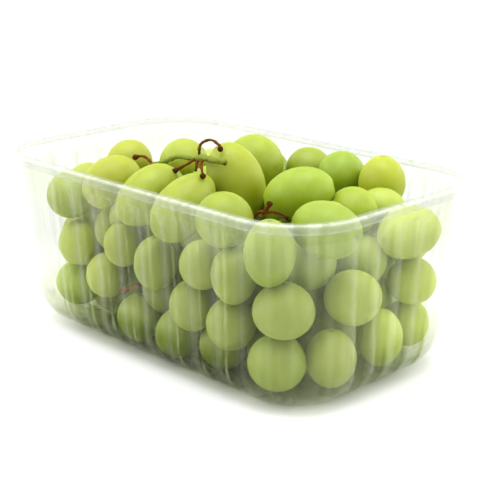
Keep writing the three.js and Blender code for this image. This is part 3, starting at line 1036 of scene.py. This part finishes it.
# ---------- The inside of the heap, in painted shade ---
CORE = {
    "half_length": 60,
    "half_width": 26,
    "corner": 12,
    "least_corner": 2,
    "least_half_width": 2,  # of the smallest ring on its top and underside
    "shift": 2,  # towards the right end
    "bottom": 3,
    "top": 50,
}
CORE_STEP = 2.5
# Lumps about a pitch apart, with hollows between them, in a box that is larger than the core.
LUMPS = {"seed": 3, "pitch": 17, "jitter": 4, "depth": 3.5, "spread": 1.6}
LUMP_BOX = {"x": (-80, 90), "y": (-45, 50), "z": (0, 70)}


def core_stations():
    """Places about CORE_STEP apart round the core's outline."""
    stations = []
    for side in range(4):
        half = CORE["half_length"] if side % 2 else CORE["half_width"]
        count = round(2 * (half - CORE["corner"]) / CORE_STEP)
        turns = round(CORE["corner"] * math.pi / 2 / CORE_STEP)
        stations += [(side, 2 * i / count - 1, 0.0, 0.0) for i in range(count)]
        stations += [(side, 1.0, i / turns * math.pi / 2, 0.0) for i in range(turns)]
    return stations


def core_rings(stations):
    """Over its underside from the middle outwards, up its side, and over its top back to the middle."""

    def ring(inset, z):
        corner = max(CORE["corner"] - inset, CORE["least_corner"])
        return rounded_ring(stations, CORE["half_length"] - inset, CORE["half_width"] - inset, corner, z)

    widest = CORE["half_width"] - CORE["least_half_width"]
    rings = [ring(inset, CORE["bottom"]) for inset in np.arange(widest, 0, -CORE_STEP)]
    rings += [ring(0.0, z) for z in np.arange(CORE["bottom"], CORE["top"], CORE_STEP)]
    rings += [ring(inset, CORE["top"]) for inset in np.arange(0, widest + CORE_STEP / 2, CORE_STEP)]
    return rings


def lump_seeds():
    """A loose grid of points, one to a lump."""
    rng = np.random.default_rng(LUMPS["seed"])
    x, y, z = (np.arange(*LUMP_BOX[axis], LUMPS["pitch"]) for axis in "xyz")
    seeds = np.array([(a, b, c) for a in x for b in y for c in z])
    return seeds + rng.uniform(-LUMPS["jitter"], LUMPS["jitter"], seeds.shape)


def core():
    """A lumpy block in painted shade behind the outer grapes, smaller than the solid's own."""
    stations = core_stations()
    rings = core_rings(stations)
    points = np.array([point for ring in rings for point in ring])
    points[:, 0] += CORE["shift"]
    nearest = np.min(np.linalg.norm(points[:, None] - lump_seeds()[None], axis=2), axis=1)
    middle = np.array((CORE["shift"], 0.0, (CORE["bottom"] + CORE["top"]) / 2))
    inwards = middle - points
    inwards /= np.linalg.norm(inwards, axis=1)[:, None]
    depths = LUMPS["depth"] * np.clip(nearest / LUMPS["pitch"] * LUMPS["spread"], 0, 1) ** 2
    points += inwards * depths[:, None]
    faces = closed_faces(len(rings), len(stations))
    new_piece("heap_core", points, faces, heap_shade(), "grapes")


# ---------- The stalks ----------
# A twig starts at swell times its radius and has lost taper of it at its end. Its first ring is narrower.
TWIG = {"seed": 5, "sides": 10, "step": 0.8, "swell": 1.1, "taper": 0.25, "uneven": 0.28, "start": 0.6}
# A knob is widest a little before its twig's end, which overruns the path by a share of a step.
KNOB = {"radius": 1.3, "length": 1.3, "from_end": 1.4, "overrun": 0.6, "end": 0.55}
STEM = 0.9  # a twig at least as thick as this is green
# How aged a twig looks, from 0, green, to 1, dark: a stem at its end, and a thinner twig at its start and how
# much more so at its end.
AGE = {"stem": 0.2, "twig": 0.45, "twig_more": 0.6}
SIDEWAYS = (0.3, 0.2, 1.0)  # no twig sets out along this


def smooth_path(path, step):
    """Points about a step apart on a smooth curve through the path's points."""
    ends = [np.array(p, float) for p in path]
    ends = [2 * ends[0] - ends[1], *ends, 2 * ends[-1] - ends[-2]]
    points = []
    for a, b, c, d in zip(ends, ends[1:], ends[2:], ends[3:]):
        count = max(2, round(float(np.linalg.norm(c - b)) / step))
        square = 2 * a - 5 * b + 4 * c - d
        cube = 3 * b - a - 3 * c + d
        for i in range(count):
            t = i / count
            points.append(0.5 * (2 * b + (c - a) * t + square * t**2 + cube * t**3))
    points.append(ends[-2])
    return np.array(points)


def tube(path, radii):
    """A closed tube along a path: points and faces."""
    along = np.gradient(path, axis=0)
    along /= np.linalg.norm(along, axis=1)[:, None]
    side = np.cross(along[0], SIDEWAYS)
    points = []
    for centre, forward, radius in zip(path, along, radii):
        side = side - forward * side.dot(forward)
        side /= np.linalg.norm(side)
        up = np.cross(forward, side)
        for j in range(TWIG["sides"]):
            turn = 2 * math.pi * j / TWIG["sides"]
            points.append(centre + radius * (math.cos(turn) * side + math.sin(turn) * up))
    return points, closed_faces(len(path), TWIG["sides"])


def twig(radius, path, rng, knob=False, brown=False):
    """One twig: uneven in thickness, and swelling to a blunt knob at its end if a grape hung there."""
    line = smooth_path(path, TWIG["step"])
    if knob:
        line = np.concatenate([line, [line[-1] + (line[-1] - line[-2]) * KNOB["overrun"]]])
    share = np.linspace(0, 1, len(line))
    radii = radius * (TWIG["swell"] - TWIG["taper"] * share)
    radii *= 1 + TWIG["uneven"] * rng.uniform(-1, 1, len(line))
    radii[0] *= TWIG["start"]
    if knob:
        from_end = (1 - share) * len(line) * TWIG["step"]
        swelling = np.exp(-(((from_end - KNOB["from_end"]) / KNOB["length"]) ** 2))
        radii += (KNOB["radius"] - radius) * swelling
        radii[-1] *= KNOB["end"]
    points, faces = tube(line, radii)
    if radius >= STEM and not brown:
        age = AGE["stem"] * share
    else:
        age = AGE["twig"] + AGE["twig_more"] * share**2
    return points, faces, np.repeat(age, TWIG["sides"])


def stalks():
    """One mesh for each bit of stalk, with all its twigs."""
    material = stalk_wood()
    rng = np.random.default_rng(TWIG["seed"])
    for name, twigs in STALKS.items():
        points, faces, ages = [], [], []
        for settings in twigs:
            more, more_faces, age = twig(rng=rng, **settings)
            faces += [tuple(i + len(points) for i in face) for face in more_faces]
            points += more
            ages.extend(age)
        piece = name.replace("stalk", "twig")
        new_piece(piece, points, faces, material, name, {"age": ages})


# ---------- Floor, light and camera ----------
def floor():
    """A wide sheet just under the base, in metres."""
    half, height = 3.0, -0.0004
    corners = [(-half, -half), (half, -half), (half, half), (-half, half)]
    mesh = bpy.data.meshes.new("floor")
    mesh.from_pydata([(x, y, height) for x, y in corners], [], [(0, 1, 2, 3)])
    mesh.materials.append(plain_floor())
    piece = bpy.data.objects.new("floor", mesh)
    bpy.context.scene.collection.objects.link(piece)


def room():
    """A white room, which lights the object more from overhead and from two sides than from the others."""
    n = Nodes(bpy.data.worlds.new("studio"), "ShaderNodeOutputWorld")
    towards = n.add("TexCoord").outputs["Generated"]
    product = n.add("VectorMath", {"operation": "DOT_PRODUCT"})
    n.put(product.inputs[0], towards)
    n.put(product.inputs[1], ROOM["across"])
    across = product.outputs["Value"]
    upwards = n.add("SeparateXYZ", Vector=towards).outputs["Z"]
    above = n.math("MULTIPLY_ADD", upwards, ROOM["overhead"], ROOM["least"])
    sides = n.math("MULTIPLY", across, ROOM["sides"])
    level = n.math("MULTIPLY_ADD", sides, across, above)
    seen = n.add("LightPath").outputs["Is Camera Ray"]
    strength = n.add("MapRange", Value=seen, To_Min=level, To_Max=ROOM["seen"]).outputs["Result"]
    white = n.add("Background", Color=colour(1.0, 1.0, 1.0), Strength=strength)
    bpy.context.scene.world = n.surface(white)


def lamp():
    """A broad lamp overhead."""
    light = bpy.data.lights.new("overhead", "SUN")
    light.energy = LAMP["power"]
    light.angle = math.radians(LAMP["spread"])
    overhead = bpy.data.objects.new("overhead", light)
    overhead.rotation_euler = (math.radians(LAMP["tilt"]), 0, 0)
    bpy.context.scene.collection.objects.link(overhead)


def camera():
    bearing, height = math.radians(CAMERA["bearing"]), math.radians(CAMERA["height"])
    level = math.cos(height)
    back = Vector((math.sin(bearing) * level, -math.cos(bearing) * level, math.sin(height)))
    right = Vector((math.cos(bearing), math.sin(bearing), 0))
    up = back.cross(right)
    turned = Matrix((right, up, back)).transposed() @ Matrix.Rotation(math.radians(CAMERA["roll"]), 3, "Z")
    lens = bpy.data.cameras.new("camera")
    lens.lens = CAMERA["lens"]
    lens.sensor_width = CAMERA["sensor"]
    eye = bpy.data.objects.new("camera", lens)
    place = (Vector(CAMERA["aim"]) + back * CAMERA["distance"]) * MM
    eye.matrix_world = Matrix.Translation(place) @ turned.to_4x4()
    bpy.context.scene.collection.objects.link(eye)
    bpy.context.scene.camera = eye


tray()
grapes()
core()
stalks()
floor()
room()
lamp()
camera()
bpy.context.scene.view_settings.view_transform = "Standard"
